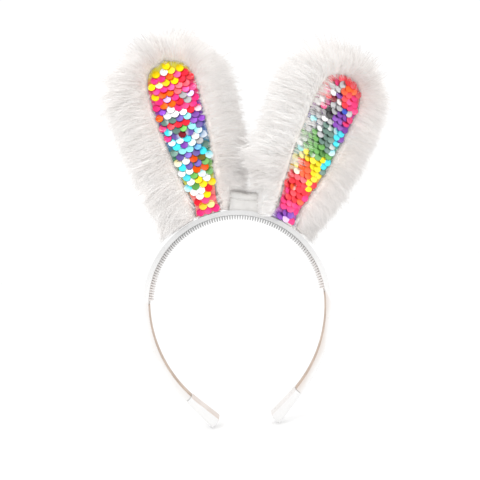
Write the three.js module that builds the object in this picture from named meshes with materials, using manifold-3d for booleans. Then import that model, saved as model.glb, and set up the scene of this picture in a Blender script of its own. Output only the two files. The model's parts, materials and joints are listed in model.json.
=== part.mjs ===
// Costume headband with two furry, sequinned rabbit ears.
// Millimetres, +Z up, +X to the wearer's left ear as seen from the front, +Y to the back of the head.
// The origin is where the comb's middle teeth touch the crown of the head.
import * as THREE from "three";
import { mergeVertices } from "three/addons/utils/BufferGeometryUtils.js";
import Module from "manifold-3d";

// ---------------------------------------------------------------- driving dimensions
const touchGap = 0.3; // between pieces that lie against each other

// the spring band
const seatRadius = 57.8; // from the comb's tips to the middle of the upper half circle
const bandWidth = 11; // front to back, over the satin
const coreThickness = 1.6;
const armRadius = 88; // the arms curve in on this larger arc
const armTurn = 48; // degrees of that arc
const armStraight = 18; // straight end of each arm

// the toothed comb and the lining
const toothHeight = 2.8;
const toothPitch = 1.82; // along the band's inner face
const toothRoot = 1.15;
const toothTip = 0.6;
const combBase = 0.6;
const combReach = 90; // from the crown to the last tooth, along the band
const liningThickness = 0.6;

// the satin sleeve and the wrapped tips
const satinWall = 0.6;
const crownPadding = 0.5; // sleeve's outer wall at the crown
const armPadding = 1.9; // sleeve's outer wall where it meets the tips
const tipLength = 24;
const tipEndThickness = 7.4;
const tipEndWall = 3;
const tipOverhang = 0.7; // how far a tip stands out past the sleeve, front and back

// the folded ribbon between the ears
const ribbonLength = 22; // along the band
const ribbonHeight = 14.5;
const ribbonDepth = 7;
const ribbonWall = 0.8;
const ribbonPlace = 11; // its middle, along the band from the crown

// the ears: place along the crown's arc, sideways lean and turn about their own length, degrees
// and how far the fur stands out on its outer and inner sides, as shares of the fur's width
const leftEar = { side: "left", outward: -1, place: -13.4, lean: -12.1, turn: 0, outer: 1, inner: 0.94 };
const rightEar = { side: "right", outward: 1, place: 32, lean: 28.7, turn: 24, outer: 0.78, inner: 1.14 };
const padLength = 15;
const padWidth = 8.5;
const padThickness = 1.2;
const footRadius = 2.2; // of the knot that the wire's ends are twisted into
const hemHeight = 5.5;
const earHeight = 103; // from the hem's foot to the top of the sequin panel
const panelTopWidth = 33;
const panelFootWidth = 14;
const sequinThickness = 1.2;
const clothThickness = 0.6;
const waddingThickness = 4;
const wireRadius = 0.8;
const pileDepth = 15; // of the fur on the ear's back
const furHalfDepth = 16; // of the fur round the ear's edge
const furFootHalfDepth = 7;
const furWidth = 27; // of the fur round the ear's edge, from the panel to the ends of the hair

// ---------------------------------------------------------------- solids
const wasm = await Module();
wasm.setup();

// A closed three.js geometry with one shared vertex at each corner.
function closedGeometry(geometry) {
  const positionOnly = geometry.clone();
  positionOnly.deleteAttribute("normal");
  positionOnly.deleteAttribute("uv");
  return mergeVertices(positionOnly, 1e-4);
}

function toManifold(geometry) {
  const closed = closedGeometry(geometry);
  return new wasm.Manifold(new wasm.Mesh({
    numProp: 3,
    vertProperties: new Float32Array(closed.attributes.position.array),
    triVerts: new Uint32Array(closed.index.array),
  }));
}

function fromManifold(solid) {
  const mesh = solid.getMesh();
  const geometry = new THREE.BufferGeometry();
  geometry.setAttribute("position", new THREE.BufferAttribute(new Float32Array(mesh.vertProperties), 3));
  geometry.setIndex(new THREE.BufferAttribute(new Uint32Array(mesh.triVerts), 1));
  geometry.computeVertexNormals();
  return geometry;
}

function cut(geometry, ...tools) {
  let solid = toManifold(geometry);
  for (const tool of tools) {
    solid = solid.subtract(toManifold(tool));
  }
  return fromManifold(solid);
}

// Sections stacked along a path, each a ring of the same number of points, with flat ends.
function loft(rings) {
  const count = rings[0].length;
  const vertices = rings.flat();
  const middles = [rings[0], rings[rings.length - 1]].map((ring) => (
    ring.reduce((sum, point) => sum.add(point), new THREE.Vector3()).divideScalar(count)));
  const firstMiddle = vertices.length;
  vertices.push(...middles);
  const faces = [];
  for (let ring = 0; ring < rings.length - 1; ring += 1) {
    for (let i = 0; i < count; i += 1) {
      const a = ring * count + i;
      const b = ring * count + ((i + 1) % count);
      faces.push(a, b + count, b, a, a + count, b + count);
    }
  }
  const last = (rings.length - 1) * count;
  for (let i = 0; i < count; i += 1) {
    const next = (i + 1) % count;
    faces.push(firstMiddle, i, next, firstMiddle + 1, last + next, last + i);
  }
  const geometry = new THREE.BufferGeometry();
  geometry.setFromPoints(vertices);
  geometry.setIndex(faces);
  geometry.computeVertexNormals();
  return geometry;
}

// An outline drawn in X and Z, given a thickness along Y from back to front.
function plate(outline, nearY, farY, bevel = 0) {
  const shape = new THREE.Shape(outline.map(([x, z]) => new THREE.Vector2(x, z)));
  const geometry = new THREE.ExtrudeGeometry(shape, {
    depth: farY - nearY - 2 * bevel,
    bevelEnabled: bevel > 0,
    bevelThickness: bevel,
    bevelSize: bevel,
    bevelOffset: -bevel,
    bevelSegments: 2,
    steps: 1,
  });
  geometry.rotateX(Math.PI / 2);
  geometry.translate(0, farY - bevel, 0);
  return geometry;
}

function material(colour, roughness, metalness = 0) {
  return new THREE.MeshStandardMaterial({ color: colour, roughness, metalness });
}

const satin = material(0xf4f2ee, 0.35);
const lining = material(0xc9b39c, 0.8);
const combPlastic = material(0xdfe0df, 0.4);
const springPlastic = material(0xe9e7e2, 0.5);
const felt = material(0xf3f1ed, 0.95);
const steelWire = material(0xb9bcc0, 0.35, 0.9);
const wadding = material(0xf6f5f2, 1.0);
const fur = material(0xf7f3f1, 1.0);
const furCloth = material(0xe9e4df, 0.95);
const sequinCloth = material(0xf07f92, 0.85);
const sequins = material(0x6fc7dc, 0.2, 0.3);

function piece(name, geometry, finish) {
  const mesh = new THREE.Mesh(geometry, finish);
  mesh.name = name;
  return mesh;
}

// ---------------------------------------------------------------- the band's curve
const innerRadius = seatRadius + toothHeight;
const crownCentre = -seatRadius; // height of the half circle's middle
const halfCircle = (Math.PI / 2) * innerRadius;
const armArc = armRadius * THREE.MathUtils.degToRad(armTurn);
const bandReach = halfCircle + armArc + armStraight; // from the crown to a tip
const capStart = bandReach - tipLength;

// The point a distance along the band's inner face from the crown, and out from that face.
function bandPoint(along, out) {
  const side = Math.sign(along) || 1;
  const run = Math.abs(along);
  let x;
  let z;
  if (run <= halfCircle) {
    const angle = run / innerRadius;
    x = (innerRadius + out) * Math.sin(angle);
    z = crownCentre + (innerRadius + out) * Math.cos(angle);
  } else {
    const angle = Math.min(run - halfCircle, armArc) / armRadius;
    const straight = Math.max(run - halfCircle - armArc, 0);
    x = innerRadius - armRadius + (armRadius + out) * Math.cos(angle) - straight * Math.sin(angle);
    z = crownCentre - (armRadius + out) * Math.sin(angle) - straight * Math.cos(angle);
  }
  return [side * x, z];
}

// The outline of a strip of the band: outer and inner are distances out, or functions of the place.
function bandStrip(from, to, inner, outer, step = 4) {
  const at = (value, along) => (typeof value === "function" ? value(along) : value);
  const count = Math.max(2, Math.ceil((to - from) / step));
  const places = Array.from({ length: count + 1 }, (_, i) => from + ((to - from) * i) / count);
  const back = places.map((along) => bandPoint(along, at(outer, along)));
  const front = places.reverse().map((along) => bandPoint(along, at(inner, along)));
  return [...back, ...front].reverse();
}

// ---------------------------------------------------------------- the headband
const coreInner = combBase + touchGap;
const coreOuter = coreInner + coreThickness;
const channelOuter = coreOuter + touchGap;
const coreHalfWidth = bandWidth / 2 - satinWall - touchGap;
const channelHalfWidth = coreHalfWidth + touchGap;
const crownOuter = channelOuter + crownPadding; // how far the sleeve stands out over the crown

// The sleeve's outer wall grows from the crown towards the tips.
function sleeveOuter(along) {
  const share = THREE.MathUtils.smoothstep(Math.abs(along), combReach * 0.5, capStart);
  return channelOuter + crownPadding + (armPadding - crownPadding) * share;
}

function bandCore() {
  const end = bandReach - tipEndWall - touchGap;
  return plate(bandStrip(-end, end, coreInner, coreOuter), -coreHalfWidth, coreHalfWidth);
}

function satinSleeve() {
  const end = capStart - touchGap;
  const outside = plate(bandStrip(-end, end, 0, sleeveOuter), -bandWidth / 2, bandWidth / 2);
  const past = end + tipLength / 2;
  const channel = bandStrip(-past, past, -toothHeight, channelOuter);
  return cut(outside, plate(channel, -channelHalfWidth, channelHalfWidth));
}

function comb() {
  const count = Math.floor((2 * combReach) / toothPitch);
  const outline = [];
  for (let tooth = 0; tooth < count; tooth += 1) {
    const middle = (tooth - (count - 1) / 2) * toothPitch;
    outline.push(bandPoint(middle - toothRoot / 2, 0));
    outline.push(bandPoint(middle - toothTip / 2, -toothHeight));
    outline.push(bandPoint(middle + toothTip / 2, -toothHeight));
    outline.push(bandPoint(middle + toothRoot / 2, 0));
  }
  const backSteps = 45;
  for (let i = backSteps; i >= 0; i -= 1) {
    outline.push(bandPoint(-combReach + (2 * combReach * i) / backSteps, combBase));
  }
  return plate(outline, -coreHalfWidth, coreHalfWidth);
}

// One side's lining, from the comb's end to the wrapped tip.
function sideLining(side) {
  const start = combReach + toothPitch;
  const end = capStart - touchGap;
  const [from, to] = side > 0 ? [start, end] : [-end, -start];
  return plate(bandStrip(from, to, 0, liningThickness), -coreHalfWidth, coreHalfWidth);
}

// A tip wrapped in satin over the band's end, with a pocket that the core sits in.
function tipCap(side) {
  const place = (share) => side * (capStart + tipLength * share);
  const growth = (share) => sleeveOuter(capStart) + (tipEndThickness - sleeveOuter(capStart)) * share;
  const outline = [];
  const steps = 6;
  for (let i = 0; i <= steps; i += 1) {
    outline.push(bandPoint(place(i / steps), -0.4));
  }
  outline.push(bandPoint(place(1.04), tipEndThickness * 0.3));
  outline.push(bandPoint(place(1.03), tipEndThickness * 0.8));
  for (let i = steps; i >= 0; i -= 1) {
    outline.push(bandPoint(place(i / steps), growth(i / steps)));
  }
  const halfWidth = bandWidth / 2 + tipOverhang;
  const solid = plate(side > 0 ? outline : outline.reverse(), -halfWidth, halfWidth, 0.7);
  const end = bandReach - tipEndWall;
  const [from, to] = side > 0 ? [capStart - 2, end] : [-end, 2 - capStart];
  const pocket = bandStrip(from, to, coreInner - touchGap, coreOuter + touchGap);
  return cut(solid, plate(pocket, -channelHalfWidth, channelHalfWidth));
}

// A loop of ribbon standing on the crown: its section is drawn front to back and runs along the band.
function centreRibbon() {
  const half = ribbonDepth / 2;
  const top = ribbonHeight;
  const wall = ribbonWall;
  const section = new THREE.Shape([
    [-half, 0], [half, 0], [half, top - 2], [half - 1.5, top], [1.5 - half, top], [-half, top - 2],
  ].map(([y, z]) => new THREE.Vector2(y, z)));
  section.holes.push(new THREE.Path([
    [wall - half, wall], [wall - half, top - 2 - wall / 2], [1.9 - half, top - wall],
    [half - 1.9, top - wall], [half - wall, top - 2 - wall / 2], [half - wall, wall],
  ].map(([y, z]) => new THREE.Vector2(y, z))));
  const geometry = new THREE.ExtrudeGeometry(section, {
    depth: ribbonLength, bevelEnabled: false, steps: 1,
  });
  geometry.rotateX(Math.PI / 2);
  geometry.rotateZ(Math.PI / 2);
  geometry.translate(-ribbonLength / 2, 0, 0);
  const angle = ribbonPlace / innerRadius;
  geometry.translate(0, 0, innerRadius + crownOuter + touchGap);
  geometry.rotateY(angle);
  geometry.translate(0, 0, crownCentre);
  return geometry;
}

const earPads = [leftEar, rightEar].map((ear) => {
  const middle = THREE.MathUtils.degToRad(ear.place) * innerRadius;
  const strip = bandStrip(middle - padLength / 2, middle + padLength / 2,
    (along) => sleeveOuter(along) + touchGap, (along) => sleeveOuter(along) + touchGap + padThickness);
  return piece(`${ear.side}_ear_pad`, plate(strip, -padWidth / 2, padWidth / 2), felt);
});

const headband = new THREE.Group();
headband.add(
  piece("band_core", bandCore(), springPlastic),
  piece("satin_cover", satinSleeve(), satin),
  piece("comb_strip", comb(), combPlastic),
  piece("left_lining", sideLining(-1), lining),
  piece("right_lining", sideLining(1), lining),
  piece("left_tip_cap", tipCap(-1), satin),
  piece("right_tip_cap", tipCap(1), satin),
  piece("centre_ribbon", centreRibbon(), satin),
  ...earPads,
);

// ---------------------------------------------------------------- one ear, upright in its own frame
const pivot = touchGap + footRadius; // the ear leans and bends about the middle of its wire knot
const hemFoot = pivot + footRadius + touchGap;
const hemTop = hemFoot + hemHeight;
const panelTop = hemFoot + earHeight;
const waddingFront = -waddingThickness / 2;
const waddingBack = waddingThickness / 2;

// One side of the panel's edge, from the foot to the middle of the top.
const panelSide = new THREE.SplineCurve([
  [0, 0], [0.42, 0.2], [0.78, 0.42], [0.96, 0.66], [1, 0.84],
].map(([growth, share]) => new THREE.Vector2(
  (panelFootWidth + (panelTopWidth - panelFootWidth) * growth) / 2, hemFoot + earHeight * share)).concat([
  new THREE.Vector2(panelTopWidth * 0.36, hemFoot + earHeight * 0.955), new THREE.Vector2(0, panelTop),
]));

// The panel's outline, narrow at the foot, widest near the top and round over it.
function panelOutline(inset, foot) {
  const right = panelSide.getPoints(26);
  const edge = right.map((point, i) => {
    const before = right[Math.max(i - 1, 0)];
    const after = right[Math.min(i + 1, right.length - 1)];
    const along = after.clone().sub(before).normalize();
    return i === right.length - 1
      ? [0, point.y - inset]
      : [point.x - along.y * inset, point.y + along.x * inset];
  }).filter(([u, v]) => v > foot + 0.5 && u >= 0);
  const half = [[edge[0][0], foot], ...edge];
  const mirrored = half.filter(([u]) => u > 0).map(([u, v]) => [-u, v]).reverse();
  return [...half, ...mirrored];
}

// The wire runs just outside the wadding, from one side of the hem over the top to the other.
function earWire() {
  const around = panelOutline(wireRadius + touchGap, hemTop + touchGap);
  const path = new THREE.CatmullRomCurve3(around.map(([u, v]) => new THREE.Vector3(u, 0, v)));
  const section = new THREE.Shape();
  section.absarc(0, 0, wireRadius, 0, 2 * Math.PI);
  return new THREE.ExtrudeGeometry(section, { steps: 52, extrudePath: path, curveSegments: 4 });
}

// The fur round the edge: each section is an oval from the panel's edge out to the ends of the hair.
function furTrim(ear) {
  const hairEnds = new THREE.CatmullRomCurve3([
    [-panelFootWidth * 0.5, -0.95, -0.02], [-panelTopWidth * 0.36, -1.08, 0.18],
    [-panelTopWidth * 0.42, -1.15, 0.45],
    [-panelTopWidth * 0.45, -1.1, 0.78], [-panelTopWidth * 0.32, -0.8, 1.04], [0, 0, 1.15],
    [panelTopWidth * 0.32, 0.72, 1.04], [panelTopWidth * 0.45, 0.95, 0.8], [panelTopWidth * 0.42, 0.98, 0.52],
    [panelTopWidth * 0.34, 0.85, 0.3], [panelFootWidth * 0.5, 0.42, 0.17],
  ].map(([u, reach, share]) => {
    const scale = reach < 0 ? ear.outer : ear.inner;
    return new THREE.Vector3(-ear.outward * (u + reach * scale * furWidth), 0, hemFoot + earHeight * share);
  }));
  const stations = 40;
  const sectionPoints = 14;
  const clear = touchGap * 3;
  const outerFootLift = 0.02;
  const innerFootLift = 0.12;
  const rings = [];
  for (let station = 0; station <= stations; station += 1) {
    const share = station / stations;
    const footLift = share < 0.5 ? outerFootLift : innerFootLift;
    const up = 1 - Math.abs(2 * share - 1) * (1 - footLift);
    const edge = panelSide.getPoint(up);
    const near = new THREE.Vector3((share < 0.5 ? 1 : -1) * ear.outward * edge.x, 0, edge.y);
    const far = hairEnds.getPoint(share);
    const out = far.clone().sub(near).normalize();
    near.addScaledVector(out, clear);
    const middle = near.clone().add(far).multiplyScalar(0.5);
    const half = near.distanceTo(far) / 2;
    const end = Math.min(share, 1 - share) * 5;
    const depth = THREE.MathUtils.lerp(furFootHalfDepth, furHalfDepth, Math.min(end, 1));
    const ring = [];
    for (let i = 0; i < sectionPoints; i += 1) {
      const angle = (-ear.outward * 2 * Math.PI * i) / sectionPoints;
      const point = middle.clone().addScaledVector(out, half * Math.cos(angle));
      point.y += depth * Math.sin(angle);
      ring.push(point);
    }
    rings.push(ring);
  }
  return loft(rings);
}

// The pile on the ear's back: the panel's shape with a round edge.
function backPile() {
  const near = waddingBack + touchGap + clothThickness + touchGap;
  return plate(panelOutline(1.2, hemTop), near, near + pileDepth, 2.4);
}

// The wire's ends, twisted together into a round knot that stands on the pad.
function wireFoot() {
  const geometry = new THREE.SphereGeometry(footRadius, 18, 12);
  geometry.rotateX(Math.PI / 2);
  geometry.translate(0, 0, pivot);
  return geometry;
}

function buildEar(ear) {
  const name = (part) => `${ear.side}_${part}`;
  const clothFront = waddingFront - touchGap - clothThickness;
  const sequinFront = clothFront - touchGap - sequinThickness;
  const hemHalf = panelFootWidth / 2 - wireRadius * 2 - touchGap;
  const hem = [[-hemHalf, hemFoot], [hemHalf, hemFoot], [hemHalf, hemTop], [-hemHalf, hemTop]];
  const turned = new THREE.Group();
  turned.rotation.z = THREE.MathUtils.degToRad(ear.turn);
  turned.add(
    piece(name("ear_hem"), plate(hem, waddingFront, waddingBack), furCloth),
    piece(name("ear_wire"), earWire(), steelWire),
    piece(name("ear_wadding"),
      plate(panelOutline(2 * (wireRadius + touchGap), hemTop + touchGap), waddingFront, waddingBack), wadding),
    piece(name("sequin_cloth"),
      plate(panelOutline(0, hemFoot), clothFront, clothFront + clothThickness), sequinCloth),
    piece(name("sequin_field"),
      plate(panelOutline(0.4, hemFoot + 0.4), sequinFront, sequinFront + sequinThickness), sequins),
    piece(name("fur_cloth"),
      plate(panelOutline(0, hemFoot), waddingBack + touchGap, waddingBack + touchGap + clothThickness), furCloth),
    piece(name("fur_back"), backPile(), fur),
    piece(name("fur_trim"), furTrim(ear), fur),
    piece(name("wire_foot"), wireFoot(), steelWire),
  );
  // The ear stands on its pad, square to its lean, at its place on the crown's arc.
  const angle = THREE.MathUtils.degToRad(ear.place);
  const out = innerRadius + crownOuter + touchGap + padThickness;
  const standing = new THREE.Group();
  standing.rotation.y = THREE.MathUtils.degToRad(ear.lean);
  standing.position.set(out * Math.sin(angle), 0, crownCentre + out * Math.cos(angle));
  standing.add(turned);
  return standing;
}

const group = new THREE.Group();
group.add(headband, buildEar(leftEar), buildEar(rightEar));

export default group;
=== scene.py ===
import json
import math

import bpy
import numpy as np
from mathutils import Matrix, Vector
from mathutils.bvhtree import BVHTree


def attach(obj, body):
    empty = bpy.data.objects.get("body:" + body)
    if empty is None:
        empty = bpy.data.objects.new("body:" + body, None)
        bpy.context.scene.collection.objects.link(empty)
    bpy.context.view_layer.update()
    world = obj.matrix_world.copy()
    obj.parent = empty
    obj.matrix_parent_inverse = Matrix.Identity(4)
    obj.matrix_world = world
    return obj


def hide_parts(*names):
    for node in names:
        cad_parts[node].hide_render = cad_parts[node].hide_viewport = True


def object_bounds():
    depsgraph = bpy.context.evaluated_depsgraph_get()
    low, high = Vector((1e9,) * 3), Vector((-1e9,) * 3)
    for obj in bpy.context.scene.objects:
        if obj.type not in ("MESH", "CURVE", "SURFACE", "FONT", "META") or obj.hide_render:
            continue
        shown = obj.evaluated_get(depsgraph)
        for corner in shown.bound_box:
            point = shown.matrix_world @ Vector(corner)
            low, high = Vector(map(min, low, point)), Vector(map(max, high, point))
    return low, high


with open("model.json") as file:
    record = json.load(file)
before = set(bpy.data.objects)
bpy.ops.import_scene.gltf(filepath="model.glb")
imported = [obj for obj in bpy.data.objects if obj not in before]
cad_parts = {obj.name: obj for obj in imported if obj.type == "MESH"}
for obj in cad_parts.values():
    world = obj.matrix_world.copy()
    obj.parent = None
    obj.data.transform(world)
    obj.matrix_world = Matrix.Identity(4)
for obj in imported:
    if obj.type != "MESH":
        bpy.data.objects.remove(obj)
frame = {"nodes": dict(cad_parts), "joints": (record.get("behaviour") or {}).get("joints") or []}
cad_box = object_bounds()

MM = 0.001

# ------------------------------------------------------------------ the studio
# A pale floor under the band's tips, a white room, and two soft lamps in front of the ears.
# The camera looks square at the front and is rolled a little, as the band hangs a little askew.
camera_distance = 480 * MM
camera_aim = Vector((5.0, 0, -14.5)) * MM
camera_roll = math.radians(-4.1)
camera_field = 331 * MM

camera_data = bpy.data.cameras.new("camera")
camera_data.sensor_width = 36
camera_data.lens = 36 * camera_distance / camera_field
camera = bpy.data.objects.new("camera", camera_data)
bpy.context.scene.collection.objects.link(camera)
camera.matrix_world = (
    Matrix.Translation(camera_aim + Vector((0, -camera_distance, 0)))
    @ Matrix.Rotation(math.pi / 2, 4, "X")
    @ Matrix.Rotation(camera_roll, 4, "Z")
)
bpy.context.scene.camera = camera
bpy.context.scene.view_settings.view_transform = "Standard"


def soft_lamp(name, place, size, watts, colour=(1, 1, 1)):
    lamp = bpy.data.lights.new(name, "AREA")
    lamp.shape = "DISK"
    lamp.size = size
    lamp.energy = watts
    lamp.color = colour
    holder = bpy.data.objects.new(name, lamp)
    bpy.context.scene.collection.objects.link(holder)
    holder.location = place
    towards = Vector((0.01, 0, 0.02)) - Vector(place)
    holder.rotation_euler = towards.to_track_quat("-Z", "Y").to_euler()


soft_lamp("key_lamp", (-0.45, -0.75, 0.75), 0.4, 2.2)
soft_lamp("fill_lamp", (0.8, -0.6, 0.15), 0.6, 0.5, (1.0, 0.98, 0.96))
soft_lamp("back_lamp", (0.2, 0.9, 0.8), 0.7, 1.0)

world = bpy.data.worlds.new("white_room")
bpy.context.scene.world = world
world.use_nodes = True
world.node_tree.nodes["Background"].inputs["Color"].default_value = (1, 1, 1, 1)
world.node_tree.nodes["Background"].inputs["Strength"].default_value = 1.06

bpy.ops.object.select_all(action="DESELECT")
bpy.ops.mesh.primitive_plane_add(size=6, location=(0, 0, cad_box[0][2] - 1 * MM))
floor = bpy.context.object
floor.name = "floor"
floor_paint = bpy.data.materials.new("floor_paint")
floor_paint.use_nodes = True
floor_shader = floor_paint.node_tree.nodes["Principled BSDF"]
floor_shader.inputs["Base Color"].default_value = (0.95, 0.95, 0.95, 1)
floor_shader.inputs["Roughness"].default_value = 0.9
floor.data.materials.append(floor_paint)


# ------------------------------------------------------------------ the moulded band
# The spring band is one strip of stiff plastic. It is all inside the satin, so its CAD shape stays.
def new_material(name, colour, roughness, **constants):
    made = bpy.data.materials.new(name)
    made.use_nodes = True
    sockets = made.node_tree.nodes["Principled BSDF"].inputs
    sockets["Base Color"].default_value = (*colour, 1)
    sockets["Roughness"].default_value = roughness
    for socket, value in constants.items():
        sockets[socket.replace("_", " ")].default_value = value
    return made


def shader_of(made):
    return made.node_tree.nodes["Principled BSDF"]


def link(made, given, taken):
    made.node_tree.links.new(given, taken)


def add_node(made, kind, place=(0, 0), **values):
    node = made.node_tree.nodes.new(kind)
    node.location = place
    for socket, value in values.items():
        node.inputs[socket.replace("_", " ")].default_value = value
    return node


def wear_group():
    """A soft mottle: two colours mixed by a noise in object space, with the same noise for roughness."""
    group = bpy.data.node_groups.new("mottle", "ShaderNodeTree")
    for name, way, kind in (("Light", "INPUT", "NodeSocketColor"), ("Dark", "INPUT", "NodeSocketColor"),
                            ("Scale", "INPUT", "NodeSocketFloat"), ("Smooth", "INPUT", "NodeSocketFloat"),
                            ("Rough", "INPUT", "NodeSocketFloat"), ("Color", "OUTPUT", "NodeSocketColor"),
                            ("Roughness", "OUTPUT", "NodeSocketFloat")):
        group.interface.new_socket(name, in_out=way, socket_type=kind)
    nodes, links = group.nodes, group.links
    inside = nodes.new("NodeGroupInput")
    outside = nodes.new("NodeGroupOutput")
    place = nodes.new("ShaderNodeTexCoord")
    noise = nodes.new("ShaderNodeTexNoise")
    noise.inputs["Detail"].default_value = 5
    links.new(place.outputs["Object"], noise.inputs["Vector"])
    links.new(inside.outputs["Scale"], noise.inputs["Scale"])
    contrast = nodes.new("ShaderNodeMapRange")
    contrast.inputs["From Min"].default_value = 0.35
    contrast.inputs["From Max"].default_value = 0.65
    links.new(noise.outputs["Fac"], contrast.inputs["Value"])
    mix = nodes.new("ShaderNodeMix")
    mix.data_type = "RGBA"
    links.new(contrast.outputs["Result"], mix.inputs["Factor"])
    links.new(inside.outputs["Dark"], mix.inputs["A"])
    links.new(inside.outputs["Light"], mix.inputs["B"])
    rough = nodes.new("ShaderNodeMix")
    links.new(contrast.outputs["Result"], rough.inputs["Factor"])
    links.new(inside.outputs["Rough"], rough.inputs["A"])
    links.new(inside.outputs["Smooth"], rough.inputs["B"])
    links.new(mix.outputs["Result"], outside.inputs["Color"])
    links.new(rough.outputs["Result"], outside.inputs["Roughness"])
    return group


mottle = wear_group()


def mottled(made, light, dark, scale, smooth, rough):
    """Gives a material the mottle with its own colours, size and range of roughness."""
    node = add_node(made, "ShaderNodeGroup", (-300, 100))
    node.node_tree = mottle
    for socket, value in (("Light", (*light, 1)), ("Dark", (*dark, 1)), ("Scale", scale),
                          ("Smooth", smooth), ("Rough", rough)):
        node.inputs[socket].default_value = value
    link(made, node.outputs["Color"], shader_of(made).inputs["Base Color"])
    link(made, node.outputs["Roughness"], shader_of(made).inputs["Roughness"])
    return node


def bump_from(made, socket, strength, distance):
    bump = add_node(made, "ShaderNodeBump", (-150, -300), Strength=strength, Distance=distance)
    link(made, socket, bump.inputs["Height"])
    link(made, bump.outputs["Normal"], shader_of(made).inputs["Normal"])


def noise_bump(made, scale, strength, distance):
    place = add_node(made, "ShaderNodeTexCoord", (-900, -300))
    noise = add_node(made, "ShaderNodeTexNoise", (-500, -300), Scale=scale, Detail=4)
    link(made, place.outputs["Object"], noise.inputs["Vector"])
    bump_from(made, noise.outputs["Fac"], strength, distance)


def dress(node_name, made):
    """Gives a CAD node that stays a material of its own."""
    part = frame["nodes"][node_name]
    part.data.materials.clear()
    part.data.materials.append(made)


spring_plastic = new_material("spring_plastic", (0.90, 0.89, 0.86), 0.5)
mottled(spring_plastic, (0.91, 0.90, 0.87), (0.86, 0.85, 0.82), 120, 0.42, 0.58)
noise_bump(spring_plastic, 900, 0.15, 0.1 * MM)
dress("band_core", spring_plastic)


# ------------------------------------------------------------------ the comb
# The comb is moulded in greyish see-through plastic and clips inside the crown, teeth to the hair.
def softened_copy(node_name, piece_name, bevel, segments=2, levels=0, angle=35, flat_faces=True):
    """A copy of a CAD node's mesh, merged, with its edges rounded as moulding or folding leaves them."""
    source = frame["nodes"][node_name]
    piece = bpy.data.objects.new(piece_name, source.data.copy())
    bpy.context.scene.collection.objects.link(piece)
    piece.data.materials.clear()
    bpy.ops.object.select_all(action="DESELECT")
    piece.select_set(True)
    bpy.context.view_layer.objects.active = piece
    bpy.ops.object.mode_set(mode="EDIT")
    bpy.ops.mesh.select_all(action="SELECT")
    bpy.ops.mesh.remove_doubles(threshold=1e-6)
    if flat_faces:
        bpy.ops.mesh.dissolve_limited(angle_limit=math.radians(1))
    bpy.ops.object.mode_set(mode="OBJECT")
    round_off = piece.modifiers.new("round_off", "BEVEL")
    round_off.width = bevel
    round_off.segments = segments
    round_off.limit_method = "ANGLE"
    round_off.angle_limit = math.radians(angle)
    bpy.ops.object.modifier_apply(modifier="round_off")
    if levels:
        finer = piece.modifiers.new("finer", "SUBSURF")
        finer.subdivision_type = "SIMPLE"
        finer.levels = finer.render_levels = levels
        bpy.ops.object.modifier_apply(modifier="finer")
    bpy.ops.object.shade_smooth_by_angle(angle=math.radians(50))
    return piece


def points_of(piece):
    return np.array([v.co for v in piece.data.vertices])


def unit(values):
    """Holds values between 0 and 1."""
    return np.clip(values, 0, 1)


def set_share(piece, attribute_name, shares):
    """Keeps a share, 0 to 1, at every point of a piece for its material to read."""
    kept = piece.data.attributes.new(attribute_name, "FLOAT", "POINT")
    kept.data.foreach_set("value", unit(shares).astype(np.float32))


arm_top = -8 * MM
arm_fade = 38 * MM
comb_plastic = new_material("comb_plastic", (0.6, 0.6, 0.6), 0.35)
mottled(comb_plastic, (0.64, 0.64, 0.63), (0.52, 0.52, 0.51), 260, 0.28, 0.45)
# The comb is painted darker at the crown and lighter down the arms: painted shade at the crown, painted
# light on the arms.
along_comb = add_node(comb_plastic, "ShaderNodeAttribute", (-900, 500))
along_comb.attribute_name = "down_the_arm"
comb_painted_shade = add_node(comb_plastic, "ShaderNodeValToRGB", (-600, 500))
comb_painted_shade.color_ramp.elements[0].color = (0.44, 0.44, 0.44, 1)
comb_painted_shade.color_ramp.elements[1].color = (0.80, 0.755, 0.73, 1)
link(comb_plastic, along_comb.outputs["Fac"], comb_painted_shade.inputs["Fac"])
link(comb_plastic, comb_painted_shade.outputs["Color"], shader_of(comb_plastic).inputs["Base Color"])
comb = softened_copy("comb_strip", "comb", 0.12 * MM, segments=1)
comb.data.materials.append(comb_plastic)
set_share(comb, "down_the_arm", (arm_top - points_of(comb)[:, 2]) / arm_fade)
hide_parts("comb_strip")
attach(comb, "headband")


# ------------------------------------------------------------------ the satin sleeve and the tips
# White satin ribbon is drawn tight over the band's back and edges, and folded over its two ends.
# It puckers a little across the band, and its sheen runs along it.
def satin(name, light, dark, pucker):
    made = new_material(name, light, 0.35, Sheen_Weight=0.25, Sheen_Roughness=0.4, Anisotropic=0.4)
    mottled(made, light, dark, 60, 0.26, 0.42)
    place = add_node(made, "ShaderNodeTexCoord", (-1100, -300))
    coarse = add_node(made, "ShaderNodeTexNoise", (-700, -250), Scale=pucker, Detail=3)
    weave = add_node(made, "ShaderNodeTexWave", (-700, -500), Scale=900, Distortion=0.6)
    weave.bands_direction = "Y"
    total = add_node(made, "ShaderNodeMath", (-400, -300))
    total.operation = "MULTIPLY_ADD"
    total.inputs[1].default_value = 0.06
    link(made, place.outputs["Object"], coarse.inputs["Vector"])
    link(made, place.outputs["Object"], weave.inputs["Vector"])
    link(made, weave.outputs["Color"], total.inputs[0])
    link(made, coarse.outputs["Fac"], total.inputs[2])
    bump_from(made, total.outputs[0], 0.35, 0.35 * MM)
    return made


def mix_over(made, attribute_name, colour):
    """Lays a second colour over the material, by a share kept on the mesh's points."""
    base = shader_of(made).inputs["Base Color"]
    before = base.links[0].from_socket
    share = add_node(made, "ShaderNodeAttribute", (-500, 700))
    share.attribute_name = attribute_name
    blend = add_node(made, "ShaderNodeMix", (-200, 500))
    blend.data_type = "RGBA"
    blend.inputs[7].default_value = (*colour, 1)
    link(made, share.outputs["Fac"], blend.inputs[0])
    link(made, before, blend.inputs[6])
    link(made, blend.outputs[2], base)


# The satin's base is greyed as painted shade at the crown, and a lighter colour is laid over it down the
# arms and on the tips as painted light.
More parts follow.
